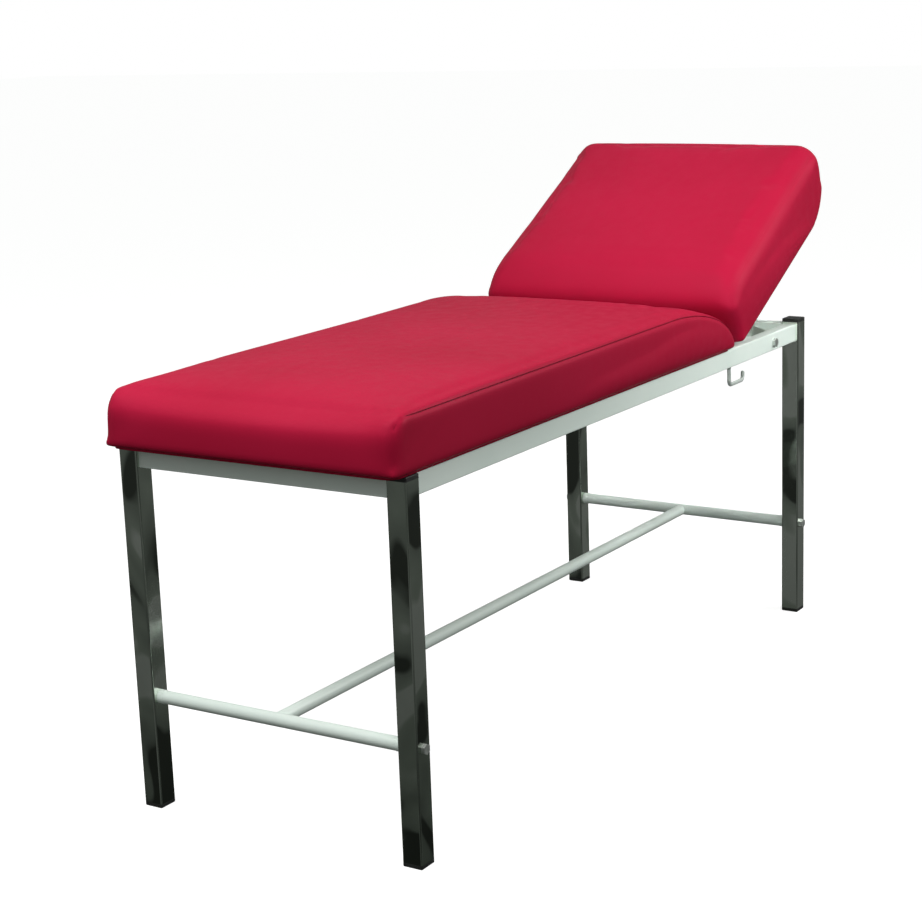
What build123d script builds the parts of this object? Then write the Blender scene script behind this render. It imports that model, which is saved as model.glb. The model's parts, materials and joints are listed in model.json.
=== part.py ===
from build123d import *
import os
from math import cos, radians, sin, sqrt

# Treatment couch: a square-tube stand, a fixed padded seat section and a padded
# backrest that hinges up and is held by a prop frame over two notched rack bars.
# Millimetres, +Z up, +X towards the head end, origin on the floor under the middle
# of the whole couch. Left (+Y) and right (-Y) are as seen from the foot end.

# ---- driving dimensions: stand ----
STAND_LENGTH = 1656.0      # over the legs, foot to head
STAND_WIDTH = 617.0        # over the legs, side to side
STAND_TOP = 688.0          # top of legs and rails
STAND_MID_X = -35.0        # middle of the stand: the raised backrest overhangs the head end
LEG = 40.0                 # square leg tube
LEG_R = 3.0                # its corner radius
RAIL_R = 2.5               # corner radius of the rails
WALL = 1.5                 # wall of every tube
CAP = 8.0                  # visible part of the black leg caps
HEAD_LEG_RISE = 4.0        # the head legs stand this far above the rails
CAP_SPIGOT = 16.0          # length of a cap's plug inside the leg
FIT = 0.05                 # clearance of plugs, pins and shanks
RAIL_HIGH = 40.0
RAIL_WIDE = 28.0
RAIL_INSET = 7.0           # rail faces lie this far inside the leg faces
FLANGE = 3.0               # end plates between side rails and legs
CROSS_RAIL_WIDE = 28.0
STRETCHER_Z = 214.0
STRETCHER_D = 25.0
PLUG_LONG = 12.0           # visible collar at each end of a cross stretcher
BOLT_R = 5.0
BOLT_AF = 17.0             # hex head across flats
BOLT_HEAD = 7.0
GUSSET = 79.0              # leg of the 45 degree corner plates
GUSSET_T = 3.0
GUSSET_HIGH = 29.0
GUSSET_DROP = 38.0         # lower edge of the gussets below the top of the stand
PLUG_RIM = 0.6             # a collar stands this much proud of its tube
PLUG_SPIGOT = 22.0
HOLE_GAP = 0.3             # radial clearance of drilled bolt holes
BOLT_PAST = 16.0           # a stretcher bolt reaches this far beyond its collar
RIM_CHAMFER = 0.8
CAP_EASE = 1.5             # eased rim of the caps

# ---- driving dimensions: pads ----
PAD_HALF = 316.0
COVER = 1.5                # vinyl cover
BOARD = 15.0               # plywood
LIP = 30.0                 # cover turned under the board
SEAT_FOOT_X = -903.0
SEAT_HEAD_X = 416.0
SEAT_ROLL = 301.0          # length of the long roll-off at the seat's head end
SEAT_HIGH = 115.0
SEAT_FOOT_HIGH = 110.0
SEAT_FOOT_R = 30.0
BACK_LONG = 567.0
BACK_THICK = 148.0
BACK_START = 2.0           # from the hinge line to the backrest's lower end
BACK_HEEL = 108.0          # length of the long round from the face to the lower end
HEEL_TOP = 98.0            # where that round starts, above the underside
HEEL_CUT = 8.0             # the lower edge is eased so that it clears the side rails
BACK_NOSE = 95.0           # length of the underside's curve at the head end
BACK_TIP_R = 12.0          # its round into the top face
BOARD_EDGE = 14.0          # foam that wraps each edge of a board
LIP_R = 20.0               # corner radius of the opening in a cover's underside
PLAN_R = 35.0              # corner radius of both pads in plan

# ---- driving dimensions: hinge, prop and racks ----
TILT = 27.5                # backrest angle as built
HINGE_X = 448.0
HINGE_Z = 670.0
UNDERSIDE = 20.0           # from the hinge line to the backrest's underside
PROP = 140.0               # hinge to prop pivot, and prop pivot to catch rod
ROD_R = 6.0
PIN_R = 5.0
ARM_T = 6.0                # flat bar of arms, ears and racks
ARM_Y = 140.0
EAR_Y = 152.0
RACK_Y = 120.0
RACK_FROM = 606.0
RACK_GAP = 0.5             # catch rod above the tooth tips
CRADLE_X = 633.0
CRADLE_BOLT_Z = 666.0
CRADLE_T = 5.0
CRADLE_WIDE = 30.0
HANGER_TOP = 682.0
NUT_HIGH = 8.0
CRADLE_BOLT_PAST = 12.0
HOOK_BAR = 8.5
HOOK_X = 425.0             # upright bar of the accessory hooks
HOOK_SPAN = 70.0
HOOK_DROP = 83.0           # bottom of the hooks below the top of the stand
HOOK_TIP = 20.0
HOOK_BEND = 9.0

SIDES = (("right", -1), ("left", 1))
ENDS = (("foot", -1), ("head", 1))
LEG_X = STAND_LENGTH / 2 - LEG / 2
LEG_Y = STAND_WIDTH / 2 - LEG / 2
RAIL_Y = STAND_WIDTH / 2 - RAIL_INSET - RAIL_WIDE / 2
RAIL_INNER_Y = RAIL_Y - RAIL_WIDE / 2
END_RAIL_X = STAND_LENGTH / 2 - RAIL_INSET - RAIL_WIDE / 2
END_INNER_X = END_RAIL_X - RAIL_WIDE / 2
RAIL_Z = STAND_TOP - RAIL_HIGH
BORE = LEG / 2 - WALL      # half the inside width of a leg

os.makedirs("parts", exist_ok=True)


def save(builder, label):
    """Label a finished piece and write its STEP."""
    builder.part.label = label
    export_step(builder.part, f"parts/{label}.step")


def back_plane(y=0.0, s=0.0, t=0.0):
    """Plane across the couch at width y: x runs up the backrest, y out of its face."""
    up = Vector(cos(radians(TILT)), 0, sin(radians(TILT)))
    out = Vector(-sin(radians(TILT)), 0, cos(radians(TILT)))
    origin = Vector(HINGE_X, y, HINGE_Z) + up * s + out * t
    return Plane(origin=origin, x_dir=up, z_dir=(0, -1, 0))


def across(y):
    """Upright plane along the couch at width y, facing -Y."""
    return Plane.XZ.offset(-y)


# ======================= stand: legs and caps =======================
for end, ex in ENDS:
    for side, sy in SIDES:
        leg_x = STAND_MID_X + ex * LEG_X
        leg_y = sy * LEG_Y
        leg_plane = Plane(origin=(leg_x, leg_y, CAP))
        # The seat lies on the foot legs, so their caps end level with the rails.
        leg_top = STAND_TOP - CAP if end == "foot" else STAND_TOP + HEAD_LEG_RISE

        with BuildPart() as leg:
            with BuildSketch(leg_plane):
                RectangleRounded(LEG, LEG, LEG_R)
                RectangleRounded(LEG - 2 * WALL, LEG - 2 * WALL, LEG_R - WALL, mode=Mode.SUBTRACT)
            extrude(amount=leg_top - CAP)
            with BuildSketch(Plane(origin=(leg_x, leg_y, STRETCHER_Z), z_dir=(0, 1, 0))):
                Circle(BOLT_R + HOLE_GAP)
            extrude(amount=LEG, both=True, mode=Mode.SUBTRACT)
        save(leg, f"leg_{end}_{side}")

        with BuildPart() as foot_cap:
            with BuildSketch(leg_plane.offset(-CAP)):
                RectangleRounded(LEG, LEG, LEG_R)
            extrude(amount=CAP)
            with BuildSketch(leg_plane):
                RectangleRounded(2 * (BORE - FIT), 2 * (BORE - FIT), LEG_R)
            extrude(amount=CAP_SPIGOT)
            chamfer(foot_cap.faces().sort_by(Axis.Z)[0].edges(), CAP_EASE)
        save(foot_cap, f"foot_cap_{end}_{side}")

        with BuildPart() as top_cap:
            with BuildSketch(Plane(origin=(leg_x, leg_y, leg_top))):
                RectangleRounded(LEG, LEG, LEG_R)
            extrude(amount=CAP)
            with BuildSketch(Plane(origin=(leg_x, leg_y, leg_top - CAP_SPIGOT))):
                RectangleRounded(2 * (BORE - FIT), 2 * (BORE - FIT), LEG_R)
            extrude(amount=CAP_SPIGOT)
            fillet(top_cap.faces().sort_by(Axis.Z)[-1].edges(), CAP_EASE)
        save(top_cap, f"top_cap_{end}_{side}")

# ======================= stand: rails, end plates, gussets =======================
rail_end = LEG_X - LEG / 2
for side, sy in SIDES:
    with BuildPart() as side_rail:
        rail_mid = (STAND_MID_X, sy * RAIL_Y, RAIL_Z + RAIL_HIGH / 2)
        with BuildSketch(Plane(origin=rail_mid, x_dir=(0, 1, 0), z_dir=(1, 0, 0))):
            RectangleRounded(RAIL_WIDE, RAIL_HIGH, RAIL_R)
            RectangleRounded(RAIL_WIDE - 2 * WALL, RAIL_HIGH - 2 * WALL, RAIL_R - WALL, mode=Mode.SUBTRACT)
        extrude(amount=rail_end - FLANGE, both=True)
        with BuildSketch(Plane(origin=(CRADLE_X, sy * RAIL_Y, CRADLE_BOLT_Z), z_dir=(0, 1, 0))):
            Circle(BOLT_R + HOLE_GAP)
        extrude(amount=RAIL_WIDE, both=True, mode=Mode.SUBTRACT)
    save(side_rail, f"side_rail_{side}")

with BuildPart() as rail_end_plates:
    for ex in (-1, 1):
        for sy in (-1, 1):
            plate_mid = (STAND_MID_X + ex * (rail_end - FLANGE / 2), sy * RAIL_Y, RAIL_Z + RAIL_HIGH / 2)
            with BuildSketch(Plane(origin=plate_mid, x_dir=(0, 1, 0), z_dir=(1, 0, 0))):
                Rectangle(RAIL_WIDE, RAIL_HIGH)
            extrude(amount=FLANGE / 2, both=True)
save(rail_end_plates, "rail_end_plates")

for end, ex in ENDS:
    with BuildPart() as end_rail:
        rail_mid = (STAND_MID_X + ex * END_RAIL_X, 0, RAIL_Z + RAIL_HIGH / 2)
        with BuildSketch(Plane(origin=rail_mid, x_dir=(1, 0, 0), z_dir=(0, -1, 0))):
            RectangleRounded(RAIL_WIDE, RAIL_HIGH, RAIL_R)
            RectangleRounded(RAIL_WIDE - 2 * WALL, RAIL_HIGH - 2 * WALL, RAIL_R - WALL, mode=Mode.SUBTRACT)
        extrude(amount=LEG_Y - LEG / 2, both=True)
    save(end_rail, f"{end}_rail")

    for side, sy in SIDES:
        corner_x = STAND_MID_X + ex * END_INNER_X
        corner_y = sy * RAIL_INNER_Y
        skin = GUSSET_T * sqrt(2)
        with BuildPart() as gusset:
            with BuildSketch(Plane.XY.offset(STAND_TOP - GUSSET_DROP)):
                with BuildLine():
                    Polyline(
                        (corner_x - ex * GUSSET, corner_y),
                        (corner_x - ex * (GUSSET - skin), corner_y),
                        (corner_x, corner_y - sy * (GUSSET - skin)),
                        (corner_x, corner_y - sy * GUSSET),
                        close=True,
                    )
                make_face()
            extrude(amount=GUSSET_HIGH)
        save(gusset, f"corner_gusset_{end}_{side}")

# Cross rails between the side rails: two under the seat, one that carries the hinges
# and one under the lowered backrest.
HINGE_RAIL_X = 399.0
CROSS_RAILS = (
    ("seat_rail_foot", -480.0),
    ("seat_rail_middle", -40.0),
    ("hinge_rail", HINGE_RAIL_X),
    ("back_rest_rail", 560.0),
)
for label, rail_x in CROSS_RAILS:
    with BuildPart() as cross_rail:
        rail_mid = (rail_x, 0, STAND_TOP - RAIL_HIGH / 2)
        with BuildSketch(Plane(origin=rail_mid, x_dir=(1, 0, 0), z_dir=(0, -1, 0))):
            RectangleRounded(CROSS_RAIL_WIDE, RAIL_HIGH, RAIL_R)
            RectangleRounded(
                CROSS_RAIL_WIDE - 2 * WALL, RAIL_HIGH - 2 * WALL, RAIL_R - WALL, mode=Mode.SUBTRACT
            )
        extrude(amount=RAIL_INNER_Y, both=True)
    save(cross_rail, label)

# ======================= stand: H-shaped stretcher =======================
TUBE_R = STRETCHER_D / 2
for end, ex in ENDS:
    tube_x = STAND_MID_X + ex * LEG_X
    tube_half = LEG_Y - LEG / 2 - PLUG_LONG
    with BuildPart() as stretcher:
        with BuildSketch(Plane(origin=(tube_x, 0, STRETCHER_Z), z_dir=(0, 1, 0))):
            Circle(TUBE_R)
            Circle(TUBE_R - WALL, mode=Mode.SUBTRACT)
        extrude(amount=tube_half, both=True)
    save(stretcher, f"cross_stretcher_{end}")


def stretcher_plug(tube_x, sy):
    """Collar at one end of a cross stretcher, with a spigot in the tube and a bolt hole."""
    face = (tube_x, sy * (LEG_Y - LEG / 2 - PLUG_LONG), STRETCHER_Z)
    with BuildPart() as plug:
        with BuildSketch(Plane(origin=face, z_dir=(0, sy, 0))):
            Circle(TUBE_R + PLUG_RIM)
        extrude(amount=PLUG_LONG)
        chamfer(plug.edges().filter_by(GeomType.CIRCLE), RIM_CHAMFER)
        with BuildSketch(Plane(origin=face, z_dir=(0, -sy, 0))):
            Circle(TUBE_R - WALL - FIT)
        extrude(amount=PLUG_SPIGOT)
        with BuildSketch(Plane(origin=face, z_dir=(0, 1, 0))):
            Circle(BOLT_R)
        extrude(amount=PLUG_SPIGOT + PLUG_LONG, both=True, mode=Mode.SUBTRACT)
    return plug.part


with BuildPart() as stretcher_plugs:
    for ex in (-1, 1):
        for sy in (-1, 1):
            add(stretcher_plug(STAND_MID_X + ex * LEG_X, sy))
save(stretcher_plugs, "stretcher_plugs")

with BuildPart() as long_stretcher:
    with BuildSketch(Plane(origin=(STAND_MID_X, 0, STRETCHER_Z), z_dir=(1, 0, 0))):
        Circle(TUBE_R)
        Circle(TUBE_R - WALL, mode=Mode.SUBTRACT)
    extrude(amount=LEG_X, both=True)
    for ex in (-1, 1):
        with BuildSketch(Plane(origin=(STAND_MID_X + ex * LEG_X, 0, STRETCHER_Z), z_dir=(0, 1, 0))):
            Circle(TUBE_R)
        extrude(amount=STRETCHER_D, both=True, mode=Mode.SUBTRACT)
save(long_stretcher, "long_stretcher")


def hex_bolt(x, face_y, z, outward, shank):
    """Hex-head bolt: the head stands on face_y and the shank runs inwards from it."""
    with BuildPart() as bolt:
        with BuildSketch(Plane(origin=(x, face_y, z), z_dir=(0, outward, 0))):
            RegularPolygon(BOLT_AF / 2, 6, major_radius=False)
        extrude(amount=BOLT_HEAD)
        with BuildSketch(Plane(origin=(x, face_y, z), z_dir=(0, -outward, 0))):
            Circle(BOLT_R - FIT)
        extrude(amount=shank)
    return bolt.part


with BuildPart() as stretcher_bolts:
    for end, ex in ENDS:
        for side, sy in SIDES:
            leg_x = STAND_MID_X + ex * LEG_X
            add(hex_bolt(leg_x, sy * STAND_WIDTH / 2, STRETCHER_Z, sy, LEG + PLUG_LONG + BOLT_PAST))
save(stretcher_bolts, "stretcher_bolts")

# ======================= accessory hooks =======================
for side, sy in SIDES:
    hook_low = STAND_TOP - HOOK_DROP
    with BuildPart() as hook:
        with BuildLine():
            FilletPolyline(
                (HOOK_X, sy * RAIL_Y, RAIL_Z),
                (HOOK_X, sy * RAIL_Y, hook_low),
                (HOOK_X + HOOK_SPAN, sy * RAIL_Y, hook_low),
                (HOOK_X + HOOK_SPAN, sy * RAIL_Y, hook_low + HOOK_TIP),
                radius=HOOK_BEND,
            )
        with BuildSketch(Plane(origin=(HOOK_X, sy * RAIL_Y, RAIL_Z), z_dir=(0, 0, -1))):
            Circle(HOOK_BAR / 2)
        sweep()
        fillet(hook.faces().sort_by(Axis.X)[-1].edges().sort_by(Axis.Z)[-1], HOOK_BAR / 2 - 0.4)
    save(hook, f"accessory_hook_{side}")


# ======================= pads =======================
def seat_block(inset):
    """Seat cushion's solid, drawn in by inset all round."""
    low = STAND_TOP + inset
    high = SEAT_HIGH - 2 * inset
    foot_x = SEAT_FOOT_X + inset
    roll = SEAT_ROLL - inset
    roll_x = SEAT_HEAD_X - SEAT_ROLL
    foot_top = STAND_TOP + SEAT_FOOT_HIGH - inset
    with BuildPart() as block:
        with BuildSketch(Plane.XZ) as section:
            with BuildLine():
                Line((foot_x, low), (roll_x + roll, low))
                EllipticalCenterArc((roll_x, low), roll, high, 0, arc_size=90)
                Line((roll_x, low + high), (foot_x, foot_top))
                Line((foot_x, foot_top), (foot_x, low))
            make_face()
            fillet(section.vertices().group_by(Axis.X)[0].sort_by(Axis.Y)[-1], SEAT_FOOT_R - inset)
        extrude(amount=PAD_HALF - inset, both=True)
        with BuildSketch(Plane(origin=((SEAT_FOOT_X + SEAT_HEAD_X) / 2, 0, STAND_TOP))):
            RectangleRounded(SEAT_HEAD_X - SEAT_FOOT_X - 2 * inset, 2 * (PAD_HALF - inset), PLAN_R - inset)
        extrude(amount=2 * SEAT_HIGH, mode=Mode.INTERSECT)
    return block.part


def back_block(inset):
    """Backrest cushion's solid, drawn in by inset all round."""
    low = UNDERSIDE + inset
    high = UNDERSIDE + BACK_THICK - inset
    start = BACK_START + inset
    stop = BACK_START + BACK_LONG - inset
    heel = BACK_HEEL - inset
    nose = BACK_NOSE - inset
    tip = BACK_TIP_R
    heel_low = low + HEEL_CUT
    with BuildPart() as block:
        with BuildSketch(back_plane()):
            with BuildLine():
                Line((start, heel_low), (start + HEEL_CUT, low))
                Line((start + HEEL_CUT, low), (stop - nose, low))
                EllipticalCenterArc((stop - nose, high - tip), nose, high - tip - low, 270, arc_size=90)
                CenterArc((stop - tip, high - tip), tip, 0, 90)
                Line((stop - tip, high), (start + heel, high))
                Spline(
                    (start + heel, high),
                    (start + 0.31 * heel, high - 0.07 * BACK_THICK),
                    (start + 1, high - 0.15 * BACK_THICK),
                    (start - 3, low + HEEL_TOP),
                    tangents=((-1, 0), (0, -1)),
                )
                Line((start - 3, low + HEEL_TOP), (start, heel_low))
            make_face()
        extrude(amount=PAD_HALF - inset, both=True)
        up = back_plane().x_dir
        out = back_plane().y_dir
        middle = Vector(HINGE_X, 0, HINGE_Z) + up * (BACK_START + BACK_LONG / 2)
        with BuildSketch(Plane(origin=middle, x_dir=up, z_dir=out)):
            RectangleRounded(BACK_LONG - 2 * inset, 2 * (PAD_HALF - inset), PLAN_R - inset)
        extrude(amount=2 * BACK_THICK, mode=Mode.INTERSECT)
    return block.part


def flat_plane(s, t):
    """Plane on the backrest at s up from the hinge and t out of its face."""
    middle = Vector(HINGE_X, 0, HINGE_Z) + back_plane().x_dir * s + back_plane().y_dir * t
    return Plane(origin=middle, x_dir=back_plane().x_dir, z_dir=back_plane().y_dir)


seat_mid_x = (SEAT_FOOT_X + SEAT_HEAD_X) / 2
seat_long = SEAT_HEAD_X - SEAT_FOOT_X
seat_inner = seat_block(COVER)

with BuildPart() as seat_board:
    with BuildSketch(Plane(origin=(seat_mid_x, 0, STAND_TOP + COVER))):
        RectangleRounded(seat_long - 2 * BOARD_EDGE, 2 * (PAD_HALF - BOARD_EDGE), PLAN_R - BOARD_EDGE)
    extrude(amount=BOARD)
save(seat_board, "seat_board")

with BuildPart() as seat_foam:
    add(seat_inner)
    add(seat_board.part, mode=Mode.SUBTRACT)
save(seat_foam, "seat_foam")

with BuildPart() as seat_cover:
    add(seat_block(0))
    add(seat_inner, mode=Mode.SUBTRACT)
    with BuildSketch(Plane(origin=(seat_mid_x, 0, STAND_TOP))):
        RectangleRounded(seat_long - 2 * LIP, 2 * (PAD_HALF - LIP), LIP_R)
    extrude(amount=COVER, mode=Mode.SUBTRACT)
save(seat_cover, "seat_cover")

back_inner = back_block(COVER)
board_long = BACK_LONG - BACK_NOSE - BOARD_EDGE
board_mid = BACK_START + BOARD_EDGE + board_long / 2
with BuildPart() as back_board:
    with BuildSketch(flat_plane(board_mid, UNDERSIDE + COVER)):
        RectangleRounded(board_long, 2 * (PAD_HALF - BOARD_EDGE), PLAN_R - BOARD_EDGE)
    extrude(amount=BOARD)
save(back_board, "back_board")

with BuildPart() as back_foam:
    add(back_inner)
    add(back_board.part, mode=Mode.SUBTRACT)
save(back_foam, "back_foam")

with BuildPart() as back_cover:
    add(back_block(0))
    add(back_inner, mode=Mode.SUBTRACT)
    with BuildSketch(flat_plane(board_mid, UNDERSIDE)):
        RectangleRounded(board_long - 2 * (LIP - BOARD_EDGE), 2 * (PAD_HALF - LIP), LIP_R)
    extrude(amount=COVER, mode=Mode.SUBTRACT)
save(back_cover, "back_cover")

# Tabs on the side rails, with a screw up into the seat board at each.
TAB_XS = (-760.0, -250.0, 250.0)
TAB_LONG = 40.0
TAB_DEEP = 34.0
TAB_T = 3.0
SCREW_R = 3.0
SCREW_HEAD_R = 6.0
with BuildPart() as board_tabs:
    for side, sy in SIDES:
        tab_y = sy * (RAIL_INNER_Y - TAB_DEEP / 2)
        for tab_x in TAB_XS:
            with BuildSketch(Plane(origin=(tab_x, tab_y, STAND_TOP - TAB_T))):
                Rectangle(TAB_LONG, TAB_DEEP)
                Circle(SCREW_R + FIT, mode=Mode.SUBTRACT)
            extrude(amount=TAB_T)
save(board_tabs, "board_tabs")

with BuildPart() as seat_screws:
    for side, sy in SIDES:
        tab_y = sy * (RAIL_INNER_Y - TAB_DEEP / 2)
        for tab_x in TAB_XS:
            with BuildSketch(Plane(origin=(tab_x, tab_y, STAND_TOP - 2 * TAB_T))):
                Circle(SCREW_HEAD_R)
            extrude(amount=TAB_T)
            with BuildSketch(Plane(origin=(tab_x, tab_y, STAND_TOP - TAB_T))):
                Circle(SCREW_R)
            extrude(amount=TAB_T + COVER)
save(seat_screws, "seat_screws")

# ======================= backrest hinges =======================
HINGE_Y = 230.0
EYE_R = 12.0
STRAP_FROM = 16.0           # the strap's plate along the board
STRAP_LONG = 70.0
STRAP_WIDE = 30.0
STRAP_T = 3.0
PIN_HEAD_R = 8.0
hinge_rail_face = HINGE_RAIL_X + CROSS_RAIL_WIDE / 2
for side, sy in SIDES:
    with BuildPart() as frame_lug:
        with BuildSketch(across(sy * HINGE_Y)):
            with Locations((HINGE_X, HINGE_Z)):
                Circle(EYE_R)
            with Locations(((hinge_rail_face + HINGE_X) / 2, HINGE_Z)):
                Rectangle(HINGE_X - hinge_rail_face, 2 * EYE_R)
            with Locations((HINGE_X, HINGE_Z)):
                Circle(PIN_R + FIT, mode=Mode.SUBTRACT)
        extrude(amount=ARM_T / 2, both=True)
    save(frame_lug, f"hinge_lug_{side}")

    # Strap under the board with an ear down to the pin, beside the frame's lug.
    ear_y = sy * (HINGE_Y - ARM_T - 1)
    with BuildPart() as hinge_strap:
        with BuildSketch(back_plane(ear_y)):
            with BuildLine():
                Polyline(
                    (0, 0),
                    (EYE_R, 0),
                    (STRAP_FROM + 18, UNDERSIDE),
                    (STRAP_FROM, UNDERSIDE),
                    (4 - EYE_R, 8),
                    close=True,
                )
            make_face()
            Circle(EYE_R)
            Circle(PIN_R + FIT, mode=Mode.SUBTRACT)
        extrude(amount=ARM_T / 2, both=True)
        with BuildSketch(flat_plane(STRAP_FROM + STRAP_LONG / 2, UNDERSIDE - STRAP_T)):
            with Locations((0, ear_y - sy * (STRAP_WIDE - ARM_T) / 2)):
                Rectangle(STRAP_LONG, STRAP_WIDE)
        extrude(amount=STRAP_T)
    save(hinge_strap, f"hinge_strap_{side}")


with BuildPart() as hinge_pins:
    for side, sy in SIDES:
        head_at = (HINGE_X, sy * (HINGE_Y + ARM_T / 2), HINGE_Z)
        with BuildSketch(Plane(origin=head_at, z_dir=(0, sy, 0))):
            Circle(PIN_HEAD_R)
        extrude(amount=STRAP_T)
        with BuildSketch(Plane(origin=head_at, z_dir=(0, -sy, 0))):
            Circle(PIN_R)
        extrude(amount=2 * ARM_T + 4)
save(hinge_pins, "hinge_pins")

# ======================= prop frame =======================
catch_x = HINGE_X + 2 * PROP * cos(radians(TILT))
pivot_x = HINGE_X + PROP * cos(radians(TILT))
pivot_z = HINGE_Z + PROP * sin(radians(TILT))
EAR_WIDE = 20.0
EAR_FOOT_LONG = 44.0
EAR_FOOT_WIDE = 32.0
EAR_FOOT_T = 3.0
ROD_FIT = 0.02
ROD_PAST = 9.0              # a rod's end beyond the middle of its outer bar

for side, sy in SIDES:
    with BuildPart() as pivot_ear:
        with BuildSketch(back_plane(sy * EAR_Y)):
            with Locations((PROP, 0)):
                Circle(EAR_WIDE / 2)
            with Locations((PROP, (UNDERSIDE + COVER) / 2)):
                Rectangle(EAR_WIDE, UNDERSIDE + COVER)
            with Locations((PROP, 0)):
                Circle(ROD_R + FIT, mode=Mode.SUBTRACT)
        extrude(amount=ARM_T / 2, both=True)
        with BuildSketch(flat_plane(PROP, UNDERSIDE + COVER - EAR_FOOT_T)):
            with Locations((0, sy * (EAR_Y + EAR_FOOT_WIDE / 2))):
                Rectangle(EAR_FOOT_LONG, EAR_FOOT_WIDE)
        extrude(amount=EAR_FOOT_T)
    save(pivot_ear, f"prop_ear_{side}")

    with BuildPart() as prop_arm:
        arm_run = Vector(cos(radians(TILT)), 0, -sin(radians(TILT)))
        arm_plane = Plane(origin=(pivot_x, sy * ARM_Y, pivot_z), x_dir=arm_run, z_dir=(0, -1, 0))
        with BuildSketch(arm_plane):
            with Locations((PROP / 2, 0)):
                SlotCenterToCenter(PROP, EAR_WIDE)
            with Locations((0, 0), (PROP, 0)):
                Circle(ROD_R + ROD_FIT, mode=Mode.SUBTRACT)
        extrude(amount=ARM_T / 2, both=True)
    save(prop_arm, f"prop_arm_{side}")

for label, rod_x, rod_z, half in (
    ("prop_pivot_rod", pivot_x, pivot_z, EAR_Y + ROD_PAST),
    ("prop_catch_rod", catch_x, HINGE_Z, ARM_Y + ROD_PAST),
):
    with BuildPart() as rod:
        with BuildSketch(across(0)):
            with Locations((rod_x, rod_z)):
                Circle(ROD_R)
        extrude(amount=half, both=True)
        chamfer(rod.edges().filter_by(GeomType.CIRCLE), RIM_CHAMFER)
    save(rod, label)

# ======================= racks and their cradle =======================
RACK_HIGH = 21.5
rack_top = HINGE_Z - ROD_R - RACK_GAP
rack_low = rack_top - RACK_HIGH
head_face = STAND_MID_X + END_INNER_X
NOTCH_STEP = 17.0
NOTCH_R = 6.4
for side, sy in SIDES:
    with BuildPart() as rack:
        with BuildSketch(across(sy * RACK_Y)):
            with BuildLine():
                Polyline(
                    (RACK_FROM, rack_low),
                    (head_face, rack_low),
                    (head_face, rack_top),
                    (RACK_FROM, rack_top),
                    close=True,
                )
            make_face()
            for notch in range(-4, 2):
                with Locations((catch_x + notch * NOTCH_STEP, rack_top)):
                    Circle(NOTCH_R, mode=Mode.SUBTRACT)
        extrude(amount=ARM_T / 2, both=True)
    save(rack, f"rack_bar_{side}")

    with BuildPart() as hanger:
        hanger_plane = Plane(origin=(CRADLE_X, sy * RAIL_INNER_Y, 0), x_dir=(1, 0, 0), z_dir=(0, -sy, 0))
        up = 1 if hanger_plane.y_dir.Z > 0 else -1
        hanger_low = rack_low - CRADLE_T
        with BuildSketch(hanger_plane):
            with Locations((0, up * (hanger_low + HANGER_TOP) / 2)):
                Rectangle(CRADLE_WIDE, HANGER_TOP - hanger_low)
            with Locations((0, up * CRADLE_BOLT_Z)):
                Circle(BOLT_R + HOLE_GAP, mode=Mode.SUBTRACT)
        extrude(amount=CRADLE_T)
    save(hanger, f"cradle_hanger_{side}")

with BuildPart() as cradle_bar:
    with BuildSketch(Plane(origin=(CRADLE_X, 0, rack_low - CRADLE_T))):
        Rectangle(CRADLE_WIDE, 2 * (RAIL_INNER_Y - CRADLE_T))
    extrude(amount=CRADLE_T)
save(cradle_bar, "cradle_bar")

with BuildPart() as cradle_bolts:
    for side, sy in SIDES:
        shank = RAIL_WIDE + CRADLE_T + CRADLE_BOLT_PAST
        add(hex_bolt(CRADLE_X, sy * (RAIL_Y + RAIL_WIDE / 2), CRADLE_BOLT_Z, sy, shank))
save(cradle_bolts, "cradle_bolts")

with BuildPart() as cradle_nuts:
    for side, sy in SIDES:
        nut_face = (CRADLE_X, sy * (RAIL_INNER_Y - CRADLE_T), CRADLE_BOLT_Z)
        with BuildSketch(Plane(origin=nut_face, z_dir=(0, -sy, 0))):
            RegularPolygon(BOLT_AF / 2, 6, major_radius=False)
            Circle(BOLT_R, mode=Mode.SUBTRACT)
        extrude(amount=NUT_HIGH)
save(cradle_nuts, "cradle_nuts")
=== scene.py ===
import copy
import json
import math

import bmesh
import bpy
import numpy as np
from mathutils import Matrix, Vector
from mathutils.bvhtree import BVHTree
from mathutils.kdtree import KDTree


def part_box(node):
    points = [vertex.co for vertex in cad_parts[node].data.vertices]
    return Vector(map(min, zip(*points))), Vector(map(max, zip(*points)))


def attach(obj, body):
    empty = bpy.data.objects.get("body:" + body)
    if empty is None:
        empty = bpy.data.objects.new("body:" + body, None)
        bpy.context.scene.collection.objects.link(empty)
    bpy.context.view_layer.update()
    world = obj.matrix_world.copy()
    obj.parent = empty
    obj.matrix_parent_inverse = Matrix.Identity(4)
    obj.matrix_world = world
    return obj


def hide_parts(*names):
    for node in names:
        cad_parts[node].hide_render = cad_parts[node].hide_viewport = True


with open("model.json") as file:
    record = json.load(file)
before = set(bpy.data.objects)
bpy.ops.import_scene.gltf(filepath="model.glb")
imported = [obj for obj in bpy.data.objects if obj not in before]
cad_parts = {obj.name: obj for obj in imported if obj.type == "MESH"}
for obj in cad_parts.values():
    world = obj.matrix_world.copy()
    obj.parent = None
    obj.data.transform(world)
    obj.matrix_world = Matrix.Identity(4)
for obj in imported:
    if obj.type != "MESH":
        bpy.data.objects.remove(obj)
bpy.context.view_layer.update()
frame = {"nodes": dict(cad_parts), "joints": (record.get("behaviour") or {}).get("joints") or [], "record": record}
NODES = frame["nodes"]
SLOT_OF = {s["node"]: s["material_slot"] for s in frame["record"]["subparts"]}
scene = bpy.context.scene

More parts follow.
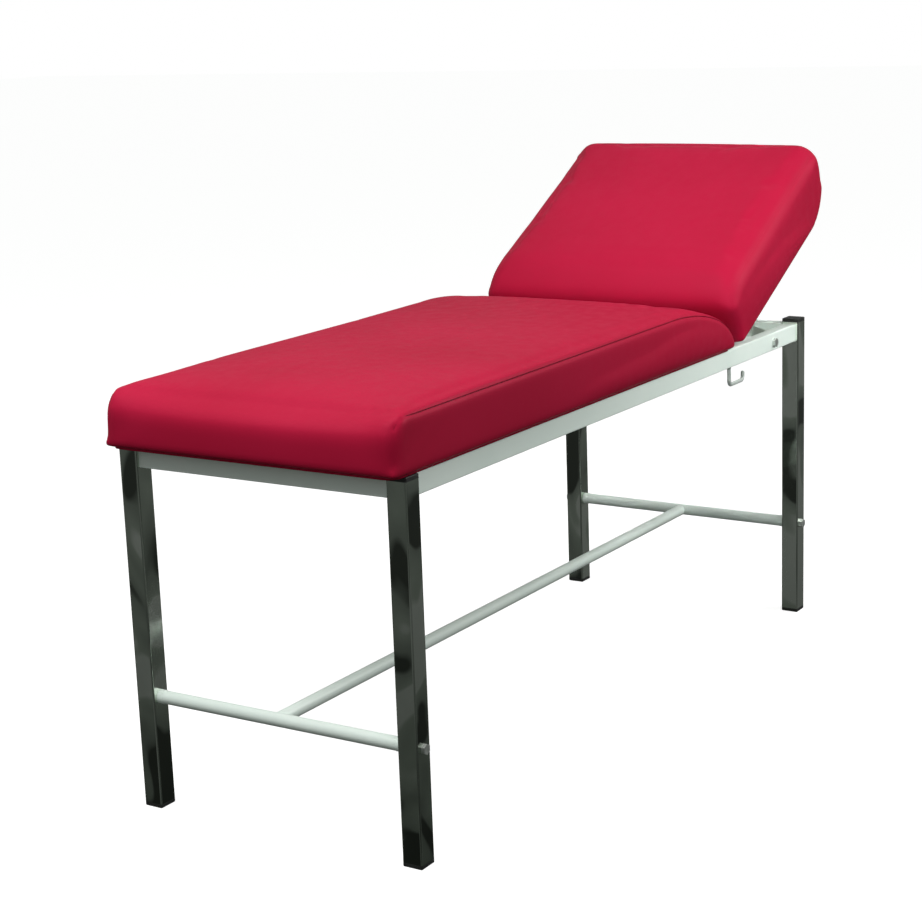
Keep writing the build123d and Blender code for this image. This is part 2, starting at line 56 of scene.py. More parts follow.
# The backrest is drawn lying flat, with the hinge line at the origin, and turned up here.
HINGE = Vector(frame["joints"][0]["pos_m"])
TILT = math.radians(27.5)  # the backrest's angle in the frame
TURN_UP = Matrix.Translation(HINGE) @ Matrix.Rotation(-TILT, 4, "Y")


# ---------------------------------------------------------------- materials
class Finish:
    """A Principled material with small helpers for procedural colour, roughness and bump."""

    def __init__(self, name, color, rough, metallic=0.0):
        self.mat = bpy.data.materials.new(name)
        self.mat.use_nodes = True
        self.tree = self.mat.node_tree
        self.bsdf = self.tree.nodes["Principled BSDF"]
        self.put("Base Color", (*color, 1))
        self.put("Roughness", rough)
        self.put("Metallic", metallic)
        self.where = self.tree.nodes.new("ShaderNodeTexCoord").outputs["Object"]
        self.height = None

    def put(self, socket, value):
        self.bsdf.inputs[socket].default_value = value

    def mapped(self, scale):
        node = self.tree.nodes.new("ShaderNodeMapping")
        node.inputs["Scale"].default_value = scale
        self.tree.links.new(self.where, node.inputs["Vector"])
        return node.outputs["Vector"]

    def noise(self, scale, detail=3.0, warp=0.0, stretch=(1, 1, 1), rough=0.5):
        node = self.tree.nodes.new("ShaderNodeTexNoise")
        node.inputs["Scale"].default_value = scale
        node.inputs["Detail"].default_value = detail
        node.inputs["Distortion"].default_value = warp
        node.inputs["Roughness"].default_value = rough
        self.tree.links.new(self.mapped(stretch), node.inputs["Vector"])
        return node.outputs["Fac"]

    def cells(self, scale):
        node = self.tree.nodes.new("ShaderNodeTexVoronoi")
        node.inputs["Scale"].default_value = scale
        self.tree.links.new(self.where, node.inputs["Vector"])
        return node.outputs["Distance"]

    def by_face(self, shift):
        """This finish with its pattern shifted along each face's own direction, so faces differ; the chrome uses
        it for painted reflections that change from face to face.
        """
        facing = self.tree.nodes.new("ShaderNodeNewGeometry")
        moved = self.tree.nodes.new("ShaderNodeVectorMath")
        moved.operation = "MULTIPLY_ADD"
        moved.inputs[1].default_value = shift
        self.tree.links.new(facing.outputs["Normal"], moved.inputs[0])
        self.tree.links.new(self.where, moved.inputs[2])
        other = copy.copy(self)
        other.where = moved.outputs["Vector"]
        return other

    def ramp(self, factor, *stops):
        node = self.tree.nodes.new("ShaderNodeValToRGB")
        ramp = node.color_ramp
        while len(ramp.elements) < len(stops):
            ramp.elements.new(0.5)
        for element, (at, color) in zip(ramp.elements, stops):
            element.position = at
            element.color = (*color, 1) if len(color) == 3 else (color[0],) * 3 + (1,)
        self.tree.links.new(factor, node.inputs["Fac"])
        return node.outputs["Color"]

    def feed(self, socket, output):
        self.tree.links.new(output, self.bsdf.inputs[socket])

    def bump(self, height, strength, distance):
        node = self.tree.nodes.new("ShaderNodeBump")
        node.inputs["Strength"].default_value = strength
        node.inputs["Distance"].default_value = distance
        self.tree.links.new(height, node.inputs["Height"])
        if self.height is not None:
            self.tree.links.new(self.height, node.inputs["Normal"])
        self.height = node.outputs["Normal"]
        self.feed("Normal", self.height)


def vinyl(name, dark=1.0):
    # dark below 1 gives a darker copy of the vinyl: painted shade, used for the seat's seam bead.
    f = Finish(name, (0.37 * dark, 0.008 * dark, 0.036 * dark), 0.42)
    cloud = f.noise(2.6, 3)
    low = (0.350 * dark, 0.0070 * dark, 0.032 * dark)
    high = (0.395 * dark, 0.0090 * dark, 0.040 * dark)
    f.feed("Base Color", f.ramp(cloud, (0.3, low), (0.7, high)))
    f.feed("Roughness", f.ramp(f.noise(38, 4), (0.3, (0.40,)), (0.7, (0.50,))))
    f.put("IOR", 1.2)
    f.put("Specular Tint", (1.0, 0.30, 0.45, 1))
    f.bump(f.noise(5.5, 2), 0.25, 0.004)
    f.bump(f.cells(820), 0.16, 0.00035)
    f.bump(f.noise(420, 3), 0.12, 0.0003)
    return f.mat


def paint(name):
    f = Finish(name, (0.80, 0.90, 0.84), 0.36)
    cloud = f.noise(7, 4, 0.4)
    f.feed("Base Color", f.ramp(cloud, (0.3, (0.82, 0.93, 0.87)), (0.72, (0.87, 0.97, 0.91))))
    f.feed("Roughness", f.ramp(f.noise(60, 3), (0.3, (0.30,)), (0.7, (0.44,))))
    f.put("Coat Weight", 0.15)
    f.put("Coat Roughness", 0.2)
    f.bump(f.noise(230, 2), 0.10, 0.0004)
    return f.mat


def chrome(name):
    # The chrome's base colour is painted reflection: dark and bright patches, shifted per face, stand in for the
    # surroundings the chrome mirrors.
    f = Finish(name, (0.20, 0.23, 0.21), 0.12, 1.0)
    shifted = f.by_face((1.7, 1.02, 0.51))
    painted_reflection_patches = shifted.noise(2.3, 2.0, 0.7, (2.0, 2.0, 1.6))
    dark, dim = (0.12, 0.135, 0.115), (0.42, 0.47, 0.41)
    pale, bright = (0.60, 0.67, 0.58), (0.90, 0.95, 0.88)
    stops = ((0.43, dark), (0.455, dim), (0.55, pale), (0.575, bright))
    f.feed("Base Color", f.ramp(painted_reflection_patches, *stops))
    f.feed("Roughness", f.ramp(f.noise(26, 4), (0.35, (0.08,)), (0.72, (0.22,))))
    f.bump(f.noise(9, 2, 0.6, (1, 1, 0.4)), 0.22, 0.002)
    f.bump(f.noise(500, 2, 0, (1, 1, 0.08)), 0.03, 0.0002)
    return f.mat


def metal(name, low, high, rough):
    f = Finish(name, low, rough, 1.0)
    f.feed("Base Color", f.ramp(f.noise(90, 4), (0.3, low), (0.7, high)))
    f.feed("Roughness", f.ramp(f.noise(240, 3), (0.3, (rough - 0.07,)), (0.7, (rough + 0.09,))))
    f.bump(f.noise(900, 2), 0.12, 0.0002)
    return f.mat


def moulded(name, low, high, rough, scale=350):
    f = Finish(name, low, rough)
    f.feed("Base Color", f.ramp(f.noise(40, 4), (0.3, low), (0.7, high)))
    f.feed("Roughness", f.ramp(f.noise(120, 3), (0.3, (rough - 0.08,)), (0.7, (rough + 0.1,))))
    f.bump(f.noise(scale, 3), 0.2, 0.0003)
    return f.mat


def plywood(name):
    f = Finish(name, (0.60, 0.42, 0.24), 0.7)
    grain = f.noise(14, 6, 1.2, (0.35, 5.0, 5.0))
    stops = ((0.28, (0.36, 0.22, 0.11)), (0.5, (0.58, 0.40, 0.23)), (0.74, (0.70, 0.52, 0.32)))
    f.feed("Base Color", f.ramp(grain, *stops))
    f.feed("Roughness", f.ramp(f.noise(80, 3), (0.3, (0.62,)), (0.7, (0.8,))))
    f.bump(f.noise(60, 5, 0.5, (0.2, 6, 6)), 0.25, 0.0006)
    return f.mat


VINYL = vinyl("vinyl")
# The seat's seam bead: the vinyl darkened, a painted shade in the seam's crease.
SEAM_VINYL_PAINTED_SHADE = vinyl("vinyl_seam_painted_shade", 0.45)
FINISHES = {
    "chrome_tube": chrome("chrome"),
    "white_paint": paint("paint"),
    "red_vinyl": VINYL,
    "foam": moulded("foam", (0.78, 0.72, 0.5), (0.86, 0.8, 0.6), 0.85),
    "plywood": plywood("plywood"),
    "black_plastic": moulded("black_cap", (0.012, 0.013, 0.012), (0.024, 0.026, 0.024), 0.5),
    "zinc_steel": metal("zinc", (0.66, 0.70, 0.67), (0.84, 0.87, 0.84), 0.44),
    "hook_steel": moulded("hook_coat", (0.44, 0.49, 0.46), (0.56, 0.61, 0.58), 0.42),
}
for node, obj in NODES.items():
    obj.data.materials.clear()
    obj.data.materials.append(FINISHES[SLOT_OF[node]])


# ---------------------------------------------------------------- mesh helpers
SIDE_STATIONS = 10     # sections over the round at each side of a pad
FLAT_STATIONS = 16     # and between the two rounds
LAST_STATION = 84      # degrees of the round at the outermost section
PRESSURE = 4           # cloth pressure in a pad
CLOTH_MASS = 0.3
CLOTH_FRAMES = 20
PINNED_FROM = 0.6      # vertices held more than this are pinned
INWARD_KEPT = 0.12     # share kept of a movement into the pad
SIDEWAYS_KEPT = 0.25   # and of one along its surface
GROOVE_REACH = 3       # a seam's groove ends this many widths away
RAY = 0.3              # length of the rays that find a seam on a pad's surface


def new_object(name, verts, faces, mat):
    mesh = bpy.data.meshes.new(name)
    mesh.from_pydata([tuple(v) for v in verts], [], faces)
    mesh.validate()
    obj = bpy.data.objects.new(name, mesh)
    scene.collection.objects.link(obj)
    mesh.materials.append(mat)
    fix = bmesh.new()
    fix.from_mesh(mesh)
    bmesh.ops.recalc_face_normals(fix, faces=fix.faces)
    fix.to_mesh(mesh)
    fix.free()
    mesh.shade_smooth()
    return obj


def coords(mesh):
    flat = np.empty(len(mesh.vertices) * 3)
    mesh.vertices.foreach_get("co", flat)
    return flat.reshape(-1, 3)


def vertex_normals(mesh):
    flat = np.empty(len(mesh.vertices) * 3)
    mesh.vertices.foreach_get("normal", flat)
    return flat.reshape(-1, 3)


def set_coords(mesh, points):
    mesh.vertices.foreach_set("co", points.ravel())
    mesh.update()


def evaluated(obj):
    return obj.evaluated_get(bpy.context.evaluated_depsgraph_get())


def bake_modifiers(obj):
    """Applies every modifier on obj to its mesh."""
    mats = [m for m in obj.data.materials]
    done = bpy.data.meshes.new_from_object(evaluated(obj))
    obj.modifiers.clear()
    old = obj.data
    obj.data = done
    bpy.data.meshes.remove(old)
    done.materials.clear()
    for m in mats:
        done.materials.append(m)
    done.shade_smooth()


def arc(cx, cz, rx, rz, start, stop, count):
    angles = np.radians(np.linspace(start, stop, count))
    return [(cx + rx * math.cos(a), cz + rz * math.sin(a)) for a in angles]


def even(points, step):
    """A closed outline resampled at an even step."""
    ring = np.array(points + points[:1])
    lengths = np.hypot(*np.diff(ring, axis=0).T)
    ring = ring[np.concatenate(([True], lengths > 1e-7))]
    run = np.concatenate(([0], np.cumsum(np.hypot(*np.diff(ring, axis=0).T))))
    at = np.linspace(0, run[-1], round(run[-1] / step), endpoint=False)
    return np.stack([np.interp(at, run, ring[:, 0]), np.interp(at, run, ring[:, 1])], 1)


def outward(ring):
    """Unit normals of a clockwise outline in (x, z), pointing away from its middle."""
    along = np.roll(ring, -2, 0) - np.roll(ring, 2, 0)
    along /= np.hypot(*along.T)[:, None]
    normal = np.stack([-along[:, 1], along[:, 0]], 1)
    for _ in range(2):
        normal = normal + np.roll(normal, 1, 0) + np.roll(normal, -1, 0)
        normal /= np.hypot(*normal.T)[:, None]
    return normal


def lofted_pad(name, ring, normals, radius, half, crown, mat):
    """Closed pad: the outline runs across the couch and is rounded at both sides by radius(normal).
    Its surface stands crown(point, normal) further out in the middle than at the sides."""
    rounds = np.array([radius(n) for n in normals])
    rises = np.array([crown(p, n) for p, n in zip(ring, normals)])
    steps = np.radians(np.linspace(0, LAST_STATION, SIDE_STATIONS))
    biggest = rounds.max()
    stations = [half - biggest + biggest * math.sin(a) for a in steps]
    flat = list(np.linspace(-stations[0], stations[0], FLAT_STATIONS)[1:-1])
    across = [-y for y in reversed(stations)] + flat + stations
    verts = []
    for y in across:
        past = np.clip(abs(y) - (half - rounds), 0, rounds)
        inset = rounds - np.sqrt(np.maximum(rounds**2 - past**2, 0))
        rise = rises * (1 - abs(y / half) ** 3)
        drawn = ring - normals * (inset - rise)[:, None]
        verts += [(x, y, z) for x, z in drawn]
    count = len(ring)
    faces = []
    for row in range(len(across) - 1):
        for i in range(count):
            j = (i + 1) % count
            here, there = row * count, (row + 1) * count
            faces.append((here + i, here + j, there + j, there + i))
    faces.append(tuple(range(count)))
    faces.append(tuple(range((len(across) - 1) * count, len(across) * count)))
    return new_object(name, verts, faces, mat)


def swell(obj, voxel, cap, held):
    """Remeshes a pad and blows it up by cloth pressure, no further than cap.
    held(points) is 1 where nothing may move."""
    remesh = obj.modifiers.new("remesh", "REMESH")
    remesh.mode = "VOXEL"
    remesh.voxel_size = voxel
    relax = obj.modifiers.new("relax", "SMOOTH")
    relax.factor = 0.5
    relax.iterations = 3
    bake_modifiers(obj)
    start = coords(obj.data)
    stay = held(start)
    normals = vertex_normals(obj.data)
    group = obj.vertex_groups.new(name="held")
    for index in np.flatnonzero(stay > PINNED_FROM):
        group.add([int(index)], 1.0, "REPLACE")
    cloth = obj.modifiers.new("swell", "CLOTH")
    cloth.settings.quality = 4
    cloth.settings.mass = CLOTH_MASS
    cloth.settings.use_pressure = True
    cloth.settings.uniform_pressure_force = PRESSURE
    cloth.settings.vertex_group_mass = "held"
    cloth.settings.effector_weights.gravity = 0
    cloth.point_cache.frame_start = 1
    cloth.point_cache.frame_end = CLOTH_FRAMES
    for number in range(1, CLOTH_FRAMES + 1):
        scene.frame_set(number)
    moved = coords(evaluated(obj).to_mesh())
    obj.modifiers.remove(cloth)
    obj.vertex_groups.remove(group)
    scene.frame_set(1)
    shift = moved - start
    out = np.sum(shift * normals, axis=1)
    along = shift - normals * out[:, None]
    out = np.where(out > 0, out, out * INWARD_KEPT)
    shift = normals * out[:, None] + along * SIDEWAYS_KEPT
    size = np.linalg.norm(shift, axis=1)
    limit = cap * np.tanh(size / cap) / np.maximum(size, 1e-9)
    set_coords(obj.data, start + shift * (limit * (1 - stay))[:, None])
    relax = obj.modifiers.new("relax", "SMOOTH")
    relax.factor = 0.5
    relax.iterations = 4
    finer = obj.modifiers.new("finer", "SUBSURF")
    finer.levels = 1
    finer.render_levels = 1
    bake_modifiers(obj)


def seam_line(obj, ring, normals, half, side, depth):
    """Points on a pad's surface along the edge between its top and one side."""
    spots = [v.co for v in obj.data.vertices]
    tree = BVHTree.FromPolygons(spots, [p.vertices for p in obj.data.polygons])
    line = []
    for (x, z), (nx, nz) in zip(ring, normals):
        inner = Vector((x - nx * depth, side * (half - depth), z - nz * depth))
        aim = Vector((nx, side, nz)).normalized()
        hit = tree.ray_cast(inner, aim, RAY)
        if hit[0] is not None:
            line.append(hit[0])
    return line


def smoothed(line, rounds):
    points = np.array([tuple(p) for p in line])
    for _ in range(rounds):
        points[1:-1] = (points[:-2] + points[1:-1] * 2 + points[2:]) / 4
    return points


def press_seam(obj, lines, deep, wide):
    """Presses a shallow groove into a pad along the seam lines."""
    points = np.concatenate(lines)
    tree = KDTree(len(points))
    for index, point in enumerate(points):
        tree.insert(point, index)
    tree.balance()
    mesh = obj.data
    here = coords(mesh)
    normals = vertex_normals(mesh)
    push = np.zeros(len(here))
    for index, point in enumerate(here):
        distance = tree.find(point)[2]
        if distance < wide * GROOVE_REACH:
            push[index] = deep * math.exp(-((distance / wide) ** 2))
    set_coords(mesh, here - normals * push[:, None])


def dense(points, step):
    run = np.concatenate(([0], np.cumsum(np.linalg.norm(np.diff(points, axis=0), axis=1))))
    at = np.linspace(0, run[-1], int(run[-1] / step) + 2)
    return np.stack([np.interp(at, run, points[:, k]) for k in range(3)], 1)


def bead(name, points, radius, taper, mat):
    """Thin tube along a seam, with taper(0 to 1 along it) times radius."""
    curve = bpy.data.curves.new(name, "CURVE")
    curve.dimensions = "3D"
    curve.bevel_depth = radius
    curve.bevel_resolution = 2
    curve.use_fill_caps = True
    spline = curve.splines.new("POLY")
    spline.points.add(len(points) - 1)
    for index, point in enumerate(points):
        spline.points[index].co = (*point, 1)
        spline.points[index].radius = taper(index / (len(points) - 1))
    temp = bpy.data.objects.new(name, curve)
    scene.collection.objects.link(temp)
    mesh = bpy.data.meshes.new_from_object(evaluated(temp))
    bpy.data.objects.remove(temp)
    obj = bpy.data.objects.new(name, mesh)
    scene.collection.objects.link(obj)
    mesh.materials.clear()
    mesh.materials.append(mat)
    mesh.shade_smooth()
    return obj


def rounded_rectangle(half_x, half_y, radius, count):
    loop = []
    for sx, sy, start in ((1, 1, 0), (-1, 1, 90), (-1, -1, 180), (1, -1, 270)):
        cx, cy = sx * (half_x - radius), sy * (half_y - radius)
        loop += arc(cx, cy, radius, radius, start, start + 90, 9)
    return even(loop, 2 * (half_x + half_y) * 2 / count)


LIP_INSET = 0.012      # the turned-in edge starts this far inside the pad's outline
LIP_CORNER = 0.024
LIP_WIDE = 0.021
STAPLE_INSET = 0.022   # the staples' line inside the pad's outline
STAPLE_CORNER = 0.02
STAPLE_STEP = 7        # outline points from one staple to the next
STAPLE_HALF = 0.0055   # half the length of a staple
WIRE_HALF = 0.0005     # half the width of its wire
WIRE_LOW, WIRE_HIGH = -0.0004, 0.0006   # its lower and upper face, from the board


def turned_lip(name, mid, half_x, half_y, low, thick, mat):
    """The cover's edge, turned under the board and stapled: a band with a hand-cut inner edge."""
    outer = rounded_rectangle(half_x - LIP_INSET, half_y - LIP_INSET, LIP_CORNER, 360)
    count = len(outer)
    angles = 2 * math.pi * np.arange(count) / count
    wave = 0.0016 * np.sin(17 * angles) + 0.0012 * np.sin(41 * angles + 1.3)
    inner = np.copysign(np.maximum(np.abs(outer) - (LIP_WIDE + wave)[:, None], 0), outer)
    rows = [(outer, low + thick), (outer, low), (inner, low), (inner, low + thick)]
    verts = []
    for ring, z in rows:
        verts += [(mid + x, y, z) for x, y in ring]
    faces = []
    for row in range(4):
        nxt = (row + 1) % 4
        for i in range(count):
            j = (i + 1) % count
            here, there = row * count, nxt * count
            faces.append((here + i, here + j, there + j, there + i))
    return new_object(name, verts, faces, mat)


BAR_FACES = ((0, 1, 3, 2), (4, 6, 7, 5), (0, 4, 5, 1), (2, 3, 7, 6), (0, 2, 6, 4), (1, 5, 7, 3))


def staples(name, mid, half_x, half_y, low, mat):
    """Wire staples along the turned-in edge."""
    path = rounded_rectangle(half_x - STAPLE_INSET, half_y - STAPLE_INSET, STAPLE_CORNER, 400)
    verts, faces = [], []
    for index in range(0, len(path), STAPLE_STEP):
        x, y = path[index]
        ahead = path[(index + 1) % len(path)] - path[index - 1]
        ahead /= np.hypot(*ahead)
        side = np.array([-ahead[1], ahead[0]])
        base = len(verts)
        for u in (-STAPLE_HALF, STAPLE_HALF):
            for v in (-WIRE_HALF, WIRE_HALF):
                for z in (low + WIRE_LOW, low + WIRE_HIGH):
                    spot = np.array([x, y]) + ahead * u + side * v
                    verts.append((mid + spot[0], spot[1], z))
        for quad in BAR_FACES:
            faces.append(tuple(base + q for q in quad))
    return new_object(name, verts, faces, mat)


# ---------------------------------------------------------------- seat pad
seat_lo, seat_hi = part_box("seat_cover")
STAND_TOP = seat_lo[2]
HALF = seat_hi[1]
UNDER = 0.0022      # the pads' flat underside above the cover's lowest face
SLIM = 0.002        # the pads start this much slimmer, and swell out again
STEP = 0.006        # spacing of the points on a pad's outline
SEAT_ROLL = 0.301   # length of the roll at the seat's head end
FOOT_HIGH = 0.110   # height of the seat at its foot end
SEAT_CROWN = 0.010  # the seat's top in the middle above its sides
FOOT_SAG = 0.022    # and how far its foot edge sinks there
FOOT_SAG_REACH = 0.09
SEAT_EDGE = 0.013   # radius of the seat's edge
FOOT_EDGE = 0.017   # and how much rounder it is at the foot
SEAT_UNDER_EDGE = 0.006
ROLL_END = 0.004    # the roll ends this far above the underside

seat_foot = seat_lo[0] + SLIM
seat_head = seat_hi[0] - SLIM
roll = SEAT_ROLL - SLIM
roll_x = seat_head - roll
low = STAND_TOP + UNDER
foot_top = STAND_TOP + FOOT_HIGH - SLIM
foot_round = 0.044
head_round = 0.008
foot_under = 0.010
top = seat_hi[2] - SLIM
seat_outline = (
    arc(seat_foot + foot_round, foot_top - foot_round, foot_round, foot_round, 180, 90, 12)
    + [(roll_x, top)]
    + arc(roll_x, low + ROLL_END, roll, top - low - ROLL_END, 90, 4, 26)
    + arc(seat_head - head_round, low + head_round, head_round, head_round, 0, -90, 5)
    + arc(seat_foot + foot_under, low + foot_under, foot_under, foot_under, -90, -180, 5)
)
seat_ring = even(seat_outline, STEP)
seat_normals = outward(seat_ring)


def seat_round(normal):
    """Radius of the seat's edge: wide at the foot corners, tight underneath."""
    if normal[1] < -0.3:
        return SEAT_UNDER_EDGE
    foot = min(max((-normal[0] - 0.2) / 0.7, 0), 1)
    return SEAT_EDGE + FOOT_EDGE * foot


def seat_crown(point, normal):
    """Fullest along the middle of the top, nothing at its ends, and sunk at its foot edge."""
    ends = min((point[0] - seat_foot) / 0.25, (seat_head - point[0]) / 0.16, 1)
    sag = math.exp(-(((point[0] - seat_foot) / FOOT_SAG_REACH) ** 2))
    return (SEAT_CROWN * max(ends, 0) - FOOT_SAG * sag) * max(normal[1], 0)


SIDE = HALF - SLIM
seat_pad = lofted_pad("seat_pad", seat_ring, seat_normals, seat_round, SIDE, seat_crown, VINYL)


def seat_held(points):
    """The underside stays flat, and the roll stays off the backrest."""
    under = np.clip((low + 0.016 - points[:, 2]) / 0.016, 0, 1)
    valley = 0.75 * np.clip((points[:, 0] - (seat_head - 0.10)) / 0.08, 0, 1)
    return np.clip(under + valley, 0, 1)


swell(seat_pad, voxel=0.007, cap=0.006, held=seat_held)


# ---------------------------------------------------------------- backrest pad
THICK = 0.148
LONG = 0.567
BACK_START = 0.002   # from the hinge line to the backrest's lower end
UNDERSIDE = 0.020    # and to its underside
FULLER = 0.003       # the face stands this much proud of its CAD solid
HEAD_FULLER = 0.010  # and this much more at its head end
BACK_CROWN = 0.007   # the face in the middle above its sides
BACK_EDGE = 0.012    # radius of the backrest's edge
FACE_EDGE = 0.036    # and how much rounder it is beside the face
HEAD_EDGE = 0.010    # and at the head end
BACK_UNDER_EDGE = 0.007
HEAD_SHORT = 0.005   # the pad is drawn this much short of the head end, and swells out to it
HEEL_BULGE = 0.003   # the heel reaches this far beyond the lower end
b_low = UNDERSIDE + UNDER
b_high = UNDERSIDE + THICK + FULLER - SLIM
b_top = b_high + HEAD_FULLER
b_start = BACK_START + SLIM
b_stop = BACK_START + LONG - HEAD_SHORT
heel = 0.108         # length of the round from the lower end to the face
heel_from = b_low + 0.094
heel_rise = 0.022    # how far that round runs on upwards
heel_pull = 0.080    # and back along the face
board_short = 0.095  # the board ends this far before the head end
nose = 0.125         # length of the underside's curve at the head end
tip = 0.014          # its round into the face
b_under = 0.010


def heel_curve(count):
    """The long round from the lower end up to the face."""
    ends = np.array(
        [
            (b_start - HEEL_BULGE, heel_from),
            (b_start - HEEL_BULGE, heel_from + heel_rise),
            (b_start + heel - heel_pull, b_high),
            (b_start + heel, b_high),
        ]
    )
    u = np.linspace(0, 1, count)[:, None]
    weights = ((1 - u) ** 3, 3 * u * (1 - u) ** 2, 3 * u**2 * (1 - u), u**3)
    return [tuple(p) for p in sum(w * e for w, e in zip(weights, ends))]


back_outline = (
    heel_curve(20)
    + arc(b_stop - tip, b_top - tip, tip, tip, 90, 0, 6)
    + arc(b_stop - nose, b_top - tip, nose, b_top - tip - b_low, 0, -90, 20)
    + arc(b_start + b_under, b_low + b_under, b_under, b_under, -90, -180, 5)
)
back_ring = even(back_outline, STEP)
back_normals = outward(back_ring)


def back_round(normal):
    """Radius of the backrest's edge: full, soft shoulders on the face, tight underneath."""
    if normal[1] < -0.5:
        return BACK_UNDER_EDGE
    face = min(max((normal[1] + 0.5) / 1.2, 0), 1)
    head = min(max((normal[0] - 0.3) / 0.5, 0), 1)
    return BACK_EDGE + FACE_EDGE * face + HEAD_EDGE * head


def back_crown(point, normal):
    """The face is fuller in the middle; the lower end keeps off the seat."""
    return BACK_CROWN * max(normal[1], 0) * min(max((point[0] - 0.01) / 0.12, 0), 1)


back_pad = lofted_pad("backrest_pad", back_ring, back_normals, back_round, SIDE, back_crown, VINYL)


def back_held(points):
    """The underside stays flat, and the lower end stays off the seat."""
    flat = np.clip((b_low + 0.014 - points[:, 2]) / 0.014, 0, 1)
    flat *= np.clip((b_stop - board_short + 0.03 - points[:, 0]) / 0.03, 0, 1)
    valley = 0.9 * np.clip((0.06 - points[:, 0]) / 0.05, 0, 1)
    return np.clip(flat + valley, 0, 1)


swell(back_pad, voxel=0.0065, cap=0.006, held=back_held)

# ---------------------------------------------------------------- seams
SEAM_STEP = 0.003
SEAT_TURN_X = 0.25   # a seam's points are put in order by their turn about x = -0.25 on the seat
BACK_TURN_X = 0.29   # and about x = 0.29 on the backrest
seat_seams, back_seams = [], []
seat_edge = (seat_normals[:, 1] > -0.2) & (seat_normals[:, 0] > -0.8)
seat_edge &= seat_ring[:, 1] > low + 0.014
back_edge = (back_normals[:, 1] > 0.1) & (back_ring[:, 1] > b_low + 0.03)
for side in (-1, 1):
    order = np.flatnonzero(seat_edge)
    turn = np.arctan2(seat_ring[order, 1] - low, -(seat_ring[order, 0] + SEAT_TURN_X))
    order = order[np.argsort(np.unwrap(turn))]
    line = seam_line(seat_pad, seat_ring[order], seat_normals[order], SIDE, side, depth=0.012)
    seat_seams.append(dense(smoothed(line, rounds=6), SEAM_STEP))
    order = np.flatnonzero(back_edge)
    turn = np.arctan2(back_ring[order, 1] - b_low, BACK_TURN_X - back_ring[order, 0])
    order = order[np.argsort(turn)]
    line = seam_line(back_pad, back_ring[order], back_normals[order], SIDE, side, depth=0.03)
    back_seams.append(dense(smoothed(line, rounds=8), SEAM_STEP))

press_seam(seat_pad, seat_seams, deep=0.0016, wide=0.0042)
press_seam(back_pad, back_seams, deep=0.0006, wide=0.004)

THIN_END = 0.15      # a seam's thickness at its ends
FADE = 14            # and how fast it grows from there


def fading(share):
    """Full along the top and thin at both ends."""
    return min(1.0, THIN_END + share * FADE, THIN_END + (1 - share) * FADE)


def sunk(points, middle, depth):
    """Seam points moved a little into the pad."""
    inward = middle - points
    inward[:, 0] = 0
    return points + inward / np.linalg.norm(inward, axis=1)[:, None] * depth


pieces = []
for name, lines, middle, radius, depth, mat in (
    # the seat's seam bead takes the darkened vinyl, a painted shade
    ("seat_seam", seat_seams, np.array([0, 0, low + 0.02]), 0.0010, 0.0012, SEAM_VINYL_PAINTED_SHADE),
    ("backrest_seam", back_seams, np.array([0, 0, b_low]), 0.0008, 0.0009, VINYL),
):
    for side, points in zip(("right", "left"), lines):
        pieces.append(bead(f"{name}_{side}", sunk(points, middle, depth), radius, fading, mat))
seat_seam_pieces = pieces[:2]
back_seam_pieces = pieces[2:]

# ---------------------------------------------------------------- turned-in covers and staples
seat_mid = (seat_lo[0] + seat_hi[0]) / 2
seat_half = (seat_hi[0] - seat_lo[0]) / 2
lip_thick = UNDER + 0.002
seat_lip = turned_lip("seat_cover_lip", seat_mid, seat_half, HALF, STAND_TOP, lip_thick, VINYL)
ZINC = FINISHES["zinc_steel"]
seat_staples = staples("seat_staples", seat_mid, seat_half, HALF, STAND_TOP, ZINC)
board_half = (LONG - board_short) / 2
board_mid = BACK_START + board_half
lip_name = "backrest_cover_lip"
back_lip = turned_lip(lip_name, board_mid, board_half, HALF, UNDERSIDE, lip_thick, VINYL)
back_staples = staples("backrest_staples", board_mid, board_half, HALF, UNDERSIDE, ZINC)

for obj in [back_pad, back_lip, back_staples] + back_seam_pieces:
    obj.data.transform(TURN_UP)
    obj.data.update()
    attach(obj, "backrest")
for obj in [seat_pad, seat_lip, seat_staples] + seat_seam_pieces:
    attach(obj, "stand")

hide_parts("seat_foam", "seat_cover")
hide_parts("back_foam", "back_cover")

# ---------------------------------------------------------------- stage, light and camera
FLOOR = 30  # half its side
corners = [(-FLOOR, -FLOOR, 0), (FLOOR, -FLOOR, 0), (FLOOR, FLOOR, 0), (-FLOOR, FLOOR, 0)]
floor = new_object("floor", corners, [(0, 1, 2, 3)], None)
floor_finish = Finish("floor_pale", (0.93, 0.935, 0.93), 0.9)
floor_finish.put("Specular IOR Level", 0.0)
floor_finish.put("Base Color", (0.5, 0.5, 0.5, 1))
floor_finish.put("Emission Color", (1, 1, 1, 1))
floor_finish.put("Emission Strength", 0.79)
floor.data.materials.clear()
floor.data.materials.append(floor_finish.mat)
floor.visible_diffuse = False
floor.visible_glossy = False

world = bpy.data.worlds.new("studio")
scene.world = world
world.use_nodes = True
tree = world.node_tree
tree.nodes.clear()
path = tree.nodes.new("ShaderNodeLightPath")
where = tree.nodes.new("ShaderNodeTexCoord")
split = tree.nodes.new("ShaderNodeSeparateXYZ")
tree.links.new(where.outputs["Generated"], split.inputs["Vector"])
sky = tree.nodes.new("ShaderNodeValToRGB")
lift = tree.nodes.new("ShaderNodeMath")
lift.operation = "MULTIPLY_ADD"
lift.inputs[1].default_value = 0.5
lift.inputs[2].default_value = 0.5
tree.links.new(split.outputs["Z"], lift.inputs[0])
tree.links.new(lift.outputs[0], sky.inputs["Fac"])
sky.color_ramp.elements[0].position = 0.30
sky.color_ramp.elements[0].color = (0.05, 0.055, 0.05, 1)
sky.color_ramp.elements[1].position = 0.85
sky.color_ramp.elements[1].color = (0.42, 0.43, 0.42, 1)
